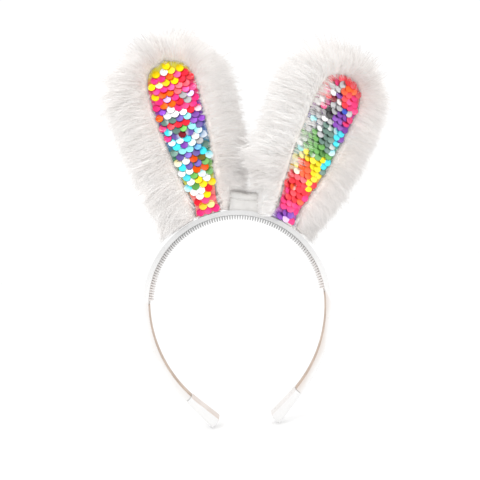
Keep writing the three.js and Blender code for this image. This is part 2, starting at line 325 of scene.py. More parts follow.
band_satin = satin("band_satin", (0.70, 0.70, 0.70), (0.61, 0.61, 0.61), 220)
mix_over(band_satin, "painted_arm_light", (0.84, 0.835, 0.83))
# a darker warm beige laid over the satin beside the linings and on the tips' inward faces
mix_over(band_satin, "warm_beige_share", (0.67, 0.585, 0.53))
sleeve = softened_copy("satin_cover", "satin_sleeve", 0.25 * MM, segments=3, flat_faces=False)
sleeve.data.materials.append(band_satin)
sleeve_points = points_of(sleeve)
arm_light_share = 0.9
set_share(sleeve, "painted_arm_light", (arm_top - sleeve_points[:, 2]) / arm_fade * arm_light_share)
# the satin is tinted a darker, warmer beige beside the linings
warm_beige_reach = 2.2 * MM
warm_beige_share = np.zeros(len(sleeve_points))
for side, most in (("left", 0.35), ("right", 0.8)):
    beside = points_of(frame["nodes"][f"{side}_lining"])
    nearest = np.array([np.linalg.norm(beside - point, axis=1).min() for point in sleeve_points])
    warm_beige_share = np.maximum(warm_beige_share, most * unit(1.4 - nearest / warm_beige_reach))
set_share(sleeve, "warm_beige_share", warm_beige_share)
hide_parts("satin_cover")
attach(sleeve, "headband")

for side in ("left", "right"):
    tip = softened_copy(f"{side}_tip_cap", f"{side}_tip_wrap", 0.5 * MM, segments=3, levels=2)
    tip.data.materials.append(band_satin)
    inward = Vector((0.77 if side == "left" else -0.77, 0, 0.64))
    facing = np.array([v.normal.dot(inward) for v in tip.data.vertices])
    # the tips carry the arms' fullest painted light
    set_share(tip, "painted_arm_light", np.full(len(facing), arm_light_share))
    # the tips are tinted the same darker warm beige on their inward faces
    set_share(tip, "warm_beige_share", (1.0 if side == "left" else 0.35) * unit((facing - 0.2) / 0.5))
    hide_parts(f"{side}_tip_cap")
    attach(tip, "headband")

# ------------------------------------------------------------------ the lining
# A thin beige ribbon is glued to the inside of each arm, from the comb to the wrapped tip.
lining_cloth = new_material("lining_cloth", (0.52, 0.39, 0.30), 0.8, Sheen_Weight=0.2)
mottled(lining_cloth, (0.55, 0.42, 0.33), (0.44, 0.32, 0.24), 90, 0.7, 0.9)
noise_bump(lining_cloth, 1500, 0.4, 0.1 * MM)
for side in ("left", "right"):
    strip = softened_copy(f"{side}_lining", f"{side}_lining_ribbon", 0.12 * MM, segments=2)
    strip.data.materials.append(lining_cloth)
    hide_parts(f"{side}_lining")
    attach(strip, "headband")

# ------------------------------------------------------------------ the ribbon between the ears
# A short length of the same satin is folded over itself and glued on the crown between the ears.
ribbon_satin = satin("ribbon_satin", (0.78, 0.765, 0.745), (0.66, 0.65, 0.635), 160)
crown_points = points_of(frame["nodes"]["centre_ribbon"])
ribbon_foot = crown_points[:, 2].min()
ribbon_place = (crown_points[:, 0].min() + crown_points[:, 0].max()) / 2
ribbon_turn = math.radians(9)
ribbon_half = 11 * MM
ribbon_tall = 14.2 * MM
ribbon_deep = 3.4 * MM
# its outline from the side, bottom front round to bottom back: a roll with a tucked pleat across the front
ribbon_fold = [(-1.00, 0.00), (-1.12, 0.12), (-1.06, 0.34), (-1.00, 0.52), (-0.92, 0.60), (-0.62, 0.635),
               (-0.98, 0.67), (-1.04, 0.78), (-0.84, 0.93), (-0.30, 1.00), (0.30, 1.00), (0.84, 0.93),
               (1.04, 0.76), (1.00, 0.40), (1.02, 0.12), (0.98, 0.00)]
bpy.ops.object.select_all(action="DESELECT")
bpy.ops.mesh.primitive_grid_add(x_subdivisions=26, y_subdivisions=len(ribbon_fold) - 1, size=2)
ribbon = bpy.context.object
ribbon.name = "folded_ribbon"
fold_rows = sorted({round(v.co.y, 5) for v in ribbon.data.vertices})
crown_centre = Vector((0, 0, -57.8)) * MM
crown_radius = (Vector((ribbon_place, 0, ribbon_foot)) - crown_centre).length
ribbon_out = Vector((math.sin(ribbon_turn), 0, math.cos(ribbon_turn)))
ribbon_way = Vector((math.cos(ribbon_turn), 0, -math.sin(ribbon_turn)))
for vertex in ribbon.data.vertices:
    place = vertex.co.x
    fore, rise = ribbon_fold[fold_rows.index(round(vertex.co.y, 5))]
    pinch = 1 - 0.10 * (1 - abs(place)) ** 2
    ripple = 0.05 * math.sin(place * 7.0 + rise * 5.0) + 0.04 * math.sin(place * 13.0 - rise * 9.0)
    out = ribbon_tall * rise * pinch + 0.25 * MM
    flat = crown_centre + ribbon_out * (crown_radius + out)
    vertex.co = flat + ribbon_way * place * ribbon_half + Vector((0, ribbon_deep * (fore + ripple), 0))
bpy.context.view_layer.objects.active = ribbon
doubled = ribbon.modifiers.new("cloth_thickness", "SOLIDIFY")
doubled.thickness = 0.5 * MM
doubled.offset = -1
bpy.ops.object.modifier_apply(modifier="cloth_thickness")
softer = ribbon.modifiers.new("soft_folds", "SUBSURF")
softer.levels = softer.render_levels = 2
bpy.ops.object.modifier_apply(modifier="soft_folds")
bpy.ops.object.shade_smooth()
ribbon.data.materials.append(ribbon_satin)
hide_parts("centre_ribbon")
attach(ribbon, "headband")

# ------------------------------------------------------------------ what is inside the ears
# Felt pads under the ears, bent steel wire, wadding and the two ground cloths keep their CAD shapes.
felt = new_material("felt", (0.76, 0.70, 0.68), 0.95, Sheen_Weight=0.3)
mottled(felt, (0.78, 0.72, 0.70), (0.68, 0.62, 0.60), 400, 0.9, 1.0)
noise_bump(felt, 1800, 0.6, 0.2 * MM)
ear_wire = new_material("ear_wire", (0.55, 0.56, 0.58), 0.32, Metallic=1.0)
mottled(ear_wire, (0.60, 0.61, 0.63), (0.42, 0.42, 0.43), 300, 0.25, 0.45)
ear_wadding = new_material("ear_wadding", (0.95, 0.95, 0.93), 1.0, Sheen_Weight=0.4)
mottled(ear_wadding, (0.96, 0.96, 0.94), (0.90, 0.90, 0.88), 200, 0.95, 1.0)
fur_ground = new_material("fur_ground", (0.86, 0.83, 0.80), 0.95, Sheen_Weight=0.3)
mottled(fur_ground, (0.88, 0.85, 0.82), (0.78, 0.75, 0.71), 150, 0.9, 1.0)
noise_bump(fur_ground, 1400, 0.5, 0.15 * MM)
for side in ("left", "right"):
    dress(f"{side}_ear_pad", felt)
    dress(f"{side}_ear_wire", ear_wire)
    dress(f"{side}_wire_foot", ear_wire)
    dress(f"{side}_ear_wadding", ear_wadding)
    dress(f"{side}_ear_hem", fur_ground)
    dress(f"{side}_fur_cloth", fur_ground)


# ------------------------------------------------------------------ where each ear stands
# Each ear has its own upright frame: across, up and back, from the point on its pad that it leans from.
class EarFrame:
    def __init__(self, side):
        self.side = side
        self.outward = -1 if side == "left" else 1
        joint = next(j for j in frame["joints"] if j["name"] == f"{side}_ear_bend")
        self.across = Vector(joint["axis"]).normalized()
        lean = math.atan2(-self.across.z, self.across.x)
        self.up = Vector((math.sin(lean), 0, math.cos(lean)))
        self.back = self.up.cross(self.across)
        self.origin = Vector(joint["pos_m"])

    def to_world(self, points):
        """Ear coordinates (across, up, back), in metres, to the row's frame."""
        axes = np.array([self.across, self.up, self.back])
        return np.asarray(points) @ axes + np.array(self.origin)

    def from_world(self, points):
        axes = np.array([self.across, self.up, self.back])
        return (np.asarray(points) - np.array(self.origin)) @ axes.T

    def node_points(self, node_name):
        return self.from_world(points_of(frame["nodes"][node_name]))


ears = [EarFrame("left"), EarFrame("right")]


def panel_half_width(ear, up):
    """Half the sequin panel's width at a height, read off the edge of its CAD cloth."""
    points = ear.node_points(f"{ear.side}_sequin_cloth")
    edge = points[points[:, 0] > -1e-6]
    order = np.argsort(edge[:, 1])
    return np.interp(up, edge[order, 1], edge[order, 0])


def mesh_piece(name, vertices, faces, made, smooth=True):
    """A piece from arrays, for pieces of many like parts: every face has the same number of corners."""
    vertices = np.ascontiguousarray(vertices, dtype=np.float32)
    faces = np.ascontiguousarray(faces, dtype=np.int32)
    mesh = bpy.data.meshes.new(name)
    mesh.vertices.add(len(vertices))
    mesh.vertices.foreach_set("co", vertices.ravel())
    mesh.loops.add(faces.size)
    mesh.loops.foreach_set("vertex_index", faces.ravel())
    mesh.polygons.add(len(faces))
    mesh.polygons.foreach_set("loop_start", np.arange(len(faces), dtype=np.int32) * faces.shape[1])
    mesh.polygons.foreach_set("use_smooth", np.full(len(faces), smooth))
    mesh.update(calc_edges=True)
    mesh.validate()
    piece = bpy.data.objects.new(name, mesh)
    bpy.context.scene.collection.objects.link(piece)
    mesh.materials.append(made)
    return piece


# ------------------------------------------------------------------ the sequin panels' cloth
# Each ear is faced with fine knit dyed in rainbow bands, and the wadding swells it a little.
# At the foot it is drawn down over the wire's foot and glued to the pad.
rainbow = {
    "left": [(0.00, (0.95, 0.30, 0.28)), (0.13, (0.92, 0.22, 0.20)), (0.20, (0.72, 0.66, 0.08)),
             (0.31, (0.16, 0.45, 0.10)), (0.40, (0.03, 0.24, 0.16)), (0.49, (0.06, 0.22, 0.50)),
             (0.60, (0.12, 0.05, 0.42)), (0.69, (0.30, 0.05, 0.42)), (0.76, (0.90, 0.04, 0.24)),
             (0.88, (0.90, 0.06, 0.10)), (0.93, (0.80, 0.70, 0.06)), (1.00, (0.70, 0.66, 0.05))],
    "right": [(0.00, (0.25, 0.10, 0.55)), (0.05, (0.45, 0.10, 0.50)), (0.10, (0.95, 0.10, 0.36)),
              (0.18, (0.95, 0.05, 0.08)), (0.28, (0.95, 0.14, 0.08)), (0.35, (0.90, 0.66, 0.05)),
              (0.42, (0.10, 0.46, 0.34)), (0.50, (0.12, 0.42, 0.12)), (0.60, (0.10, 0.46, 0.50)),
              (0.67, (0.22, 0.10, 0.62)), (0.78, (0.60, 0.05, 0.40)), (0.88, (0.95, 0.08, 0.20)),
              (1.00, (0.95, 0.22, 0.22))],
}
panel_swell = 1.6 * MM
panel_front = {}


def panel_surface(ear, across, up):
    """How far in front of the ear's middle the panel's face lies: it swells between its edges."""
    half = np.maximum(panel_half_width(ear, up), 0.1 * MM)
    share = unit(np.abs(across) / half)
    return panel_front[ear.side] - panel_swell * (1 - share ** 2)


panel_foot = -3.2 * MM
foot_spread = {"left": 1.2 * MM, "right": 4.0 * MM}


def foot_flare(ear, up):
    """How much wider the cloth is by the pad, where it is gathered and glued."""
    return foot_spread[ear.side] * unit(1 - (up - panel_foot) / (8 * MM)) ** 1.6


def dyed_knit(ear):
    made = new_material(f"{ear.side}_dyed_knit", (0.9, 0.3, 0.4), 0.7, Sheen_Weight=0.4)
    height = add_node(made, "ShaderNodeAttribute", (-900, 200))
    height.attribute_name = "up_the_ear"
    ramp = add_node(made, "ShaderNodeValToRGB", (-600, 200))
    stops = rainbow[ear.side]
    while len(ramp.color_ramp.elements) < len(stops):
        ramp.color_ramp.elements.new(0.5)
    for stop, (share, colour) in zip(ramp.color_ramp.elements, stops):
        stop.position = share
        stop.color = (*colour, 1)
    link(made, height.outputs["Fac"], ramp.inputs["Fac"])
    link(made, ramp.outputs["Color"], shader_of(made).inputs["Base Color"])
    noise_bump(made, 1300, 0.6, 0.2 * MM)
    return made


for ear in ears:
    cloth = ear.node_points(f"{ear.side}_sequin_cloth")
    panel_front[ear.side] = cloth[:, 2].min()
    low, high = panel_foot, cloth[:, 1].max()
    rows, columns = 70, 24
    ups = low + (high - low) * np.sin(np.linspace(0, math.pi / 2, rows + 1))
    ups[-1] = high - 0.02 * MM
    shares = np.linspace(-1, 1, columns + 1)
    half = np.maximum(panel_half_width(ear, ups), 0.2 * MM) + foot_flare(ear, ups)
    across = half[:, None] * shares[None, :]
    up = np.repeat(ups[:, None], columns + 1, 1)
    front = panel_surface(ear, across, up)
    back = np.full_like(front, cloth[:, 2].max())
    grid = np.arange((rows + 1) * (columns + 1)).reshape(rows + 1, columns + 1)
    face = np.stack([grid[:-1, :-1], grid[:-1, 1:], grid[1:, 1:], grid[1:, :-1]], -1).reshape(-1, 4)
    count = grid.size
    rim = np.concatenate([grid[0, :], grid[1:, -1], grid[-1, -2::-1], grid[-2:0:-1, 0]])
    after = np.roll(rim, -1)
    sides = np.stack([rim, rim + count, after + count, after], -1)
    points = np.concatenate([np.stack([across, up, front], -1).reshape(-1, 3),
                             np.stack([across, up, back], -1).reshape(-1, 3)])
    faces = np.concatenate([face, face[:, ::-1] + count, sides])
    panel = mesh_piece(f"{ear.side}_panel_cloth", ear.to_world(points), faces, dyed_knit(ear))
    set_share(panel, "up_the_ear", (points[:, 1] - low) / (high - low))
    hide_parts(f"{ear.side}_sequin_cloth")
    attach(panel, f"{ear.side}_ear")

# ------------------------------------------------------------------ the sequins
# Flip sequins: dished film discs, each sewn on at its top edge, in rows that lap like roof tiles.
# One letter stands for each disc's colour, from the top row down; brushed ones show another side.
# W, plain white, is a painted highlight: discs flashing the light white; the cyans A and Q are partly the
# film's colour and partly a painted reflection.
film_colours = {
    "R": (0.95, 0.02, 0.04), "O": (1.00, 0.09, 0.00), "C": (0.90, 0.09, 0.12), "P": (0.95, 0.03, 0.20),
    "Y": (1.00, 0.72, 0.00), "N": (0.92, 0.82, 0.24), "M": (0.50, 0.03, 0.20), "V": (0.22, 0.05, 0.42),
    "U": (0.15, 0.10, 0.38), "E": (0.70, 0.45, 0.95), "B": (0.03, 0.10, 0.64), "I": (0.10, 0.27, 0.52),
    "A": (0.05, 0.72, 0.86), "Q": (0.32, 0.86, 0.92), "W": (1.00, 1.00, 1.00), "T": (0.13, 0.23, 0.19),
    "G": (0.13, 0.38, 0.08), "J": (0.16, 0.13, 0.02), "S": (0.42, 0.42, 0.43), "D": (0.20, 0.01, 0.02),
    "K": (0.03, 0.03, 0.03),
}
sequin_rows = {
    "left": "CRSYYY GYWYYY PPOOPR YYYYYRR PPPCCR YOOCPP VPEPSEP POORPSP VWWPPP OWWWRP TTUQVV PRRRVV "
            "ATGTQU PUDUQV AQWAWI IAVQSI TQAQIT TUUUAI NWOOJA AUUUG WWOOG AQGQG WWYWY AGYYY WWWR AWYQ "
            "RRPC YYNY PPP CCP",
    "right": "CCPRRC CPSOOC CSSORPP PSWVRPP CRDWRPP WMSSBSP WPKSVVP SSSKVVP SSWSVVV QQSTTAA SSWTTAV "
             "SGSTTAA GGGTTA GGGGTA WGGGGA QYGGYA WNYYYA NOOYYT NOOYYY NNOOYY CCCOYR CRRRYY RORRO PRRRP "
             "PRROP PPPPP PPPPP QVPVP VVEPP",
}
sequin_size = 5.55 * MM
row_pitch = 3.66 * MM
disc_pitch = {"left": 5.45 * MM, "right": 4.7 * MM}
sequin_thickness = 0.10 * MM
sequin_corners = 12
rim_width = 0.35 * MM
hole_size = 0.7 * MM


def sequin_shape():
    """One dished disc hung from its top edge, with a rolled rim and a sewing hole near the top, and a
    painted-shade factor for every point.
    """
    bpy.ops.object.select_all(action="DESELECT")
    bpy.ops.mesh.primitive_circle_add(vertices=sequin_corners, radius=sequin_size / 2, fill_type="NGON")
    disc = bpy.context.object
    bpy.ops.object.mode_set(mode="EDIT")
    bpy.ops.mesh.select_all(action="SELECT")
    bpy.ops.mesh.inset(thickness=rim_width)
    bpy.ops.transform.translate(value=(0, 0, -0.14 * MM))
    bpy.ops.mesh.inset(thickness=sequin_size / 2 - rim_width - hole_size / 2)
    bpy.ops.transform.translate(value=(0, sequin_size * 0.26, -0.10 * MM))
    bpy.ops.mesh.delete(type="ONLY_FACE")
    bpy.ops.object.mode_set(mode="OBJECT")
    wall = disc.modifiers.new("wall", "SOLIDIFY")
    wall.thickness = sequin_thickness
    bpy.ops.object.modifier_apply(modifier="wall")
    mesh = disc.data
    places = np.array([v.co for v in mesh.vertices])
    faces = np.array([p.vertices for p in mesh.polygons])
    bpy.data.objects.remove(disc)
    rim = np.linalg.norm(places[:, :2], axis=1) > sequin_size / 2 - rim_width * 0.5
    places[:, 1] -= sequin_size * 0.44
    # painted shadow: each disc is darkened towards its top, under the row above, and its rim is darkened as
    # painted shade
    lap_shadow_share = unit((places[:, 1] + sequin_size * 0.46) / (sequin_size * 0.34))
    depth = (1 - 0.24 * lap_shadow_share) * np.where(rim, 0.86, 1.0)
    return places, faces, depth


def film():
    made = new_material("sequin_film", (0.6, 0.6, 0.6), 0.3, Metallic=0.8)
    colour = add_node(made, "ShaderNodeAttribute", (-900, 200))
    colour.attribute_name = "film_colour"
    link(made, colour.outputs["Color"], shader_of(made).inputs["Base Color"])
    smudge = add_node(made, "ShaderNodeTexNoise", (-700, -100), Scale=700)
    rough = add_node(made, "ShaderNodeMapRange", (-400, -100))
    rough.inputs["To Min"].default_value = 0.22
    rough.inputs["To Max"].default_value = 0.42
    place = add_node(made, "ShaderNodeTexCoord", (-900, -100))
    link(made, place.outputs["Object"], smudge.inputs["Vector"])
    link(made, smudge.outputs["Fac"], rough.inputs["Value"])
    link(made, rough.outputs["Result"], shader_of(made).inputs["Roughness"])
    return made


def set_colours(piece, attribute_name, colours):
    """Keeps a colour at every point of a piece for its material to read."""
    opaque = np.concatenate([unit(colours), np.ones((len(colours), 1))], 1)
    kept = piece.data.attributes.new(attribute_name, "FLOAT_COLOR", "POINT")
    kept.data.foreach_set("color", opaque.astype(np.float32).ravel())


sequin_film = film()
disc_places, disc_faces, disc_painted_shade = sequin_shape()
# how far each disc laps over the next row, and how unevenly the discs nod and roll, in degrees
disc_tilt = {"left": (11, 2.4, 3.0), "right": (12, 4.5, 6)}
# the film's own light: how bright it is, and how hazed by the fur's fluff
film_shine = {"left": 1.03, "right": 1.12}
film_haze = {"left": 0.0, "right": 0.035}
# a painted highlight: the light colours catch a gleam painted on one half of the disc much more often than
# the dark ones
gleaming_letters = "AQTWUNI"
sewn_below_top = 1.6 * MM
sequin_stand = 0.35 * MM

for ear in ears:
    draw = np.random.default_rng(11 if ear.side == "left" else 23)
    cloth = ear.node_points(f"{ear.side}_sequin_cloth")
    top = cloth[:, 1].max() - sewn_below_top
    pitch = disc_pitch[ear.side]
    lap, nod_spread, roll_spread = disc_tilt[ear.side]
    vertices, faces, colours = [], [], []
    for row, letters in enumerate(sequin_rows[ear.side].split()):
        height = top - row * row_pitch
        if height < panel_foot + sequin_size * 0.72:
            break
        disc_middle = height - sequin_size * 0.4
        lower_half, upper_half = panel_half_width(ear, np.array([max(disc_middle, panel_foot), height]))
        half = float(min(lower_half, upper_half + 0.8 * MM))
        shift = (row % 2) * 0.5 + draw.normal(0, 0.06)
        first = math.ceil((-half + pitch * 0.20) / pitch - shift)
        last = math.floor((half - pitch * 0.30) / pitch - shift)
        for slot in range(first, last + 1):
            across = (slot + shift) * pitch + draw.normal(0, 0.12 * MM)
            share = min(max((across + half) / (2 * half), 0), 1)
            letter = letters[min(int(share * len(letters)), len(letters) - 1)]
            brightness = draw.uniform(0.95, 1.18) * film_shine[ear.side]
            colour = np.array(film_colours[letter]) * brightness + film_haze[ear.side]
            nod = math.radians(lap + draw.normal(0, nod_spread))
            roll = math.radians(draw.normal(0, roll_spread))
            yaw = math.radians(draw.normal(0, 5))
            tilt = Matrix.Rotation(roll, 3, "Y") @ Matrix.Rotation(-nod, 3, "X")
            local = disc_places @ np.array(tilt @ Matrix.Rotation(yaw, 3, "Z")).T
            front = float(panel_surface(ear, np.array([across]), np.array([disc_middle]))[0])
            vertices.append(np.array([across, height, front - sequin_stand]) + local * [1, 1, -1])
            faces.append(disc_faces[:, ::-1] + len(disc_places) * len(faces))
            # the painted shadow under the lap and the painted shade on the rim darken each disc's colour
            tint = unit(colour[None, :] * disc_painted_shade[:, None])
            # painted highlight: a gleam painted towards white on one half of the disc
            gleam = draw.uniform(0, 6.3)
            gleam_way = np.array([math.cos(gleam), math.sin(gleam)])
            caught = draw.uniform() < (0.40 if letter in gleaming_letters else 0.05)
            shine = unit(disc_places[:, :2] @ gleam_way / sequin_size * 2.2) * (0.7 if caught else 0.06)
            colours.append(tint + (1 - tint) * shine[:, None])
    field = mesh_piece(f"{ear.side}_sequins", ear.to_world(np.concatenate(vertices)), np.concatenate(faces),
                       sequin_film, smooth=False)
    set_colours(field, "film_colour", np.concatenate(colours))
    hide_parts(f"{ear.side}_sequin_field")
    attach(field, f"{ear.side}_ear")


# ------------------------------------------------------------------ the fur
# Long acrylic pile, rooted at the ear's edge and fanned outwards, forwards and backwards from it.
# A dense undercoat fills its middle, and the loose guard hairs stand on that in small locks.
# The fur glows faintly in its own tint: a painted glow standing in for light passed from hair to hair.
def fur_material(name, roughness, painted_glow):
    made = new_material(name, (0.9, 0.89, 0.88), roughness, Sheen_Weight=0.3, Sheen_Roughness=0.6,
                        Specular_IOR_Level=0.2, Emission_Strength=painted_glow)
    tint = add_node(made, "ShaderNodeAttribute", (-700, 200))
    tint.attribute_name = "fur_tint"
    patch = mottled(made, (1, 1, 1), (0.97, 0.965, 0.96), 60, roughness - 0.08, roughness + 0.08)
    both = add_node(made, "ShaderNodeMix", (-350, 150))
    both.data_type = "RGBA"
    both.blend_type = "MULTIPLY"
    both.inputs["Factor"].default_value = 1
    link(made, tint.outputs["Color"], both.inputs["A"])
    link(made, patch.outputs["Color"], both.inputs["B"])
    link(made, both.outputs["Result"], shader_of(made).inputs["Base Color"])
    # painted glow: emission in the fur's own tint
    link(made, both.outputs["Result"], shader_of(made).inputs["Emission Color"])
    return made


guard_fur = fur_material("guard_fur", 0.75, 0.075)
under_fur = fur_material("under_fur", 0.85, 0.03)
noise_bump(under_fur, 900, 0.8, 0.6 * MM)
# how far loose hair may stand out past the whole headband: sideways, in depth and above
furthest_hair = np.array([14, 9.5, 14]) * MM
root_tint = np.array([0.99, 0.915, 0.875])
body_tint = np.array([0.985, 0.96, 0.945])
tip_tint = np.array([0.68, 0.675, 0.67])


def fur_shell(node_name):
    mesh = frame["nodes"][node_name].data
    places = [v.co for v in mesh.vertices]
    return BVHTree.FromPolygons(places, [tuple(p.vertices) for p in mesh.polygons])


fan_start = 6 * MM
# where the pile has been brushed out further than the rest: place round the edge, width, and gain
brushed_out = {
    "left": ((0.40, 0.06, 0.20), (0.50, 0.06, 0.25), (0.60, 0.06, 0.15),
             (0.82, 0.05, 0.22), (0.885, 0.045, 1.7), (0.96, 0.04, 1.2)),
    "right": ((0.04, 0.04, 1.2), (0.11, 0.045, 1.7), (0.18, 0.05, 0.26),
              (0.40, 0.07, 0.12), (0.50, 0.06, 0.22), (0.61, 0.06, 0.10)),
}
# beside the foot the pile is too thin to hold the fan's start, so a short even tuft stands there
tuft_reach, tuft_swell = 5.6 * MM, 0.9 * MM
thin_pile = 3 * MM
# hair over the panel's edge is short, and at the outer foot it hangs in a skirt
beside_panel_reach = 8 * MM
skirt_reach = {"left": 23 * MM, "right": 15 * MM}
skirt_deep = 7 * MM
skirt_behind = 5 * MM


class FurFan:
    """How far the pile reaches: station 0..1 goes round the ear's edge, angle fans about that edge."""

    def __init__(self, ear):
        self.ear = ear
        cloth = ear.node_points(f"{ear.side}_sequin_cloth")
        flat = np.unique(np.round(cloth[:, :2], 7), axis=0)
        middle = np.array([0, (flat[:, 1].min() + flat[:, 1].max()) / 2])
        bearing = np.arctan2(flat[:, 0] - middle[0], flat[:, 1] - middle[1])
        order = np.argsort(bearing)
        loop = flat[order]
        start = np.argmin(np.where(loop[:, 0] < 0, loop[:, 1], 1))
        loop = np.roll(loop, -start, axis=0)
        drop = np.array([0, loop[0, 1] - panel_foot])
        loop = np.concatenate([loop[:1] - drop, loop, loop[-1:] - drop])
        run = np.concatenate([[0], np.cumsum(np.linalg.norm(np.diff(loop, axis=0), axis=1))])
        self.loop, self.run = loop, run / run[-1]
        self.stations = np.linspace(0, 1, 97)
        self.angles = np.linspace(-math.pi, math.pi, 61)
        shell = fur_shell(f"{ear.side}_fur_trim")
        reach = np.zeros((len(self.stations), len(self.angles)))
        for i, station in enumerate(self.stations):
            edge, along, out = self.edge(np.array([station]))
            root = ear.to_world(edge + out * fan_start)[0]
            for j, angle in enumerate(self.angles):
                towards = out[0] * math.cos(angle) + np.array([0, 0, 1]) * math.sin(angle)
                aim = Vector(ear.to_world(towards)) - ear.origin
                hit = shell.ray_cast(Vector(root), aim.normalized(), 0.08)
                reach[i, j] = hit[3] if hit[0] is not None else 0
        tuft = tuft_reach + tuft_swell * np.cos(self.angles)
        thin = reach[:, len(self.angles) // 2] < thin_pile
        reach[thin] = tuft
        beside_panel = np.abs(self.angles) > 2.2
        reach[:, beside_panel] = np.minimum(reach[:, beside_panel], beside_panel_reach)
        reach = np.maximum(reach, tuft * 0.85)
        outer_foot = self.stations < 0.12 if ear.outward < 0 else self.stations > 0.88
        wide = skirt_reach[ear.side]
        skirt = 1 / np.sqrt((np.cos(self.angles) / wide) ** 2 + (np.sin(self.angles) / skirt_deep) ** 2)
        skirt = np.where(np.abs(self.angles) > math.pi / 2, skirt_behind, skirt)
        reach[outer_foot] = np.maximum(reach[outer_foot], skirt)
        for _ in range(3):
            reach[1:-1] = (reach[:-2] + 2 * reach[1:-1] + reach[2:]) / 4
        facing_out = unit(np.cos(self.angles))
        gain = sum(rise * np.exp(-((self.stations - place) / width) ** 2)
                   for place, width, rise in brushed_out[ear.side])
        self.reach = reach * (1 + gain[:, None] * facing_out[None, :])

    def edge(self, station):
        """The point on the panel's edge, the way along it and the way out of it."""
        def at(s):
            across, up = (np.interp(s, self.run, self.loop[:, k]) for k in (0, 1))
            return np.stack([across, up, np.zeros_like(s)], -1)
        place = at(station)
        step = 0.012
        along = at(unit(station + step)) - at(unit(station - step))
        along /= np.linalg.norm(along, axis=1)[:, None]
        out = np.stack([-along[:, 1], along[:, 0], np.zeros(len(along))], -1)
        return place, along, out

    def reach_at(self, station, angle):
        i = unit(station) * (len(self.stations) - 1)
        j = (np.clip(angle, -math.pi, math.pi) + math.pi) / (2 * math.pi) * (len(self.angles) - 1)
        i0 = np.minimum(i.astype(int), len(self.stations) - 2)
        j0 = np.minimum(j.astype(int), len(self.angles) - 2)
        fi, fj = i - i0, j - j0
        r = self.reach
        return ((1 - fi) * (1 - fj) * r[i0, j0] + fi * (1 - fj) * r[i0 + 1, j0]
                + (1 - fi) * fj * r[i0, j0 + 1] + fi * fj * r[i0 + 1, j0 + 1])


def fanned(out, angle):
    """The way the pile points at each angle of the fan: out of the ear's edge, or forward, or back."""
    return out * np.cos(angle)[:, None] + np.array([0, 0, 1]) * np.sin(angle)[:, None]


def coat_share(angle):
    """The undercoat's share of the reach: all of it beside the panel, less where long hairs stand."""
    inner = unit((np.abs(angle) - 1.6) / 1.2)
    return undercoat_share + (1.12 - undercoat_share) * inner


def strands(ear, name, roots, middles, tips, radius, shade, warmth):
    """Three-sided tapering hairs, each bent near its middle point and tinted from root to tip."""
    count = len(roots)
    lower = roots * 0.25 + middles * 0.75
    upper = middles * 0.40 + tips * 0.60
    way = tips - roots
    way /= np.linalg.norm(way, axis=1)[:, None] + 1e-9
    aside = np.cross(way, [0.31, 0.17, 0.94])
    aside /= np.linalg.norm(aside, axis=1)[:, None] + 1e-9
    other = np.cross(way, aside)
    rings = []
    for place, share in ((roots, 1.0), (lower, 0.95), (upper, 0.7)):
        for corner in range(3):
            turn = 2 * math.pi * corner / 3
            offset = math.cos(turn) * aside + math.sin(turn) * other
            rings.append(place + radius[:, None] * share * offset)
    rings.append(tips)
    vertices = np.stack(rings, 1).reshape(-1, 3)
    pattern = []
    for ring in range(2):
        for corner in range(3):
            after = (corner + 1) % 3
            a, b = 3 * ring + corner, 3 * ring + after
            pattern += [(a, b, b + 3), (a, b + 3, a + 3)]
    pattern += [(6 + corner, 6 + (corner + 1) % 3, 9) for corner in range(3)]
    pattern.append((2, 1, 0))
    faces = (np.array(pattern)[None] + 10 * np.arange(count)[:, None, None]).reshape(-1, 3)
    vertices = behind_ribbon(ear.to_world(vertices))
    lowest, highest = np.array(cad_box)
    vertices = np.clip(vertices, lowest - furthest_hair, highest + furthest_hair)
    pile = mesh_piece(name, vertices, faces, guard_fur, smooth=False)
    low = root_tint * warmth[:, None] + body_tint * (1 - warmth[:, None])
    end = np.tile(tip_tint * 0.25 + body_tint * 0.75, (count, 1))
    stages = [low] * 3 + [low * 0.3 + body_tint * 0.7] * 3 + [end] * 3 + [np.tile(tip_tint, (count, 1))]
    set_colours(pile, "fur_tint", (np.stack(stages, 1) * shade[:, None, None]).reshape(-1, 3))
    return pile


def rest_on_band(points):
    """Hair hanging past the band's outer face is stopped by it: the band falls away from the foot."""
    face = -3.4 * MM - points[:, 0] ** 2 / (2 * 65 * MM)
    points = points.copy()
    over_band = np.abs(points[:, 2]) < 12 * MM
    points[:, 1] = np.where(over_band, np.maximum(points[:, 1], face), points[:, 1])
    return points


def behind_ribbon(points):
    """Hair that meets the ribbon on the crown lies behind it, but for a little over its right end."""
    outward = np.array(ribbon_out)
    from_foot = points - np.array(crown_centre) - outward * crown_radius
    along = from_foot @ np.array(ribbon_way)
    beside = unit((ribbon_half + 1.2 * MM + along) / (2 * MM))
    beside *= unit((ribbon_half - along) / (4 * MM))
    below = unit((ribbon_tall + 3 * MM - from_foot @ outward) / (3 * MM))
    behind = np.maximum(points[:, 1], ribbon_deep + 1.2 * MM + 0.1 * (points[:, 1] + 8 * MM))
    points = points.copy()
    points[:, 1] += (behind - points[:, 1]) * beside * below
    return points


def smooth_field(draw, count=5):
    """A gentle random field over station and angle, for the way the pile has been brushed."""
    spans = ((1, 6), (0.5, 2.5), (0, 6.3), (0.5, 1))
    waves = [[draw.uniform(*span) for span in spans] for _ in range(count)]
    total = sum(height for _, _, _, height in waves)

    def at(station, angle):
        return sum(height * np.sin(6.3 * round_edge * station + about * angle + start)
                   for round_edge, about, start, height in waves) / total
    return at


hairs_in_piece = 10500
undercoat_share = 0.74
trim_stretches = [("outer_side", 0.0, 0.36), ("tip", 0.36, 0.66), ("inner_side", 0.66, 1.0)]
hair_radius = 0.105 * MM
lock_size = 8
droop = 0.10
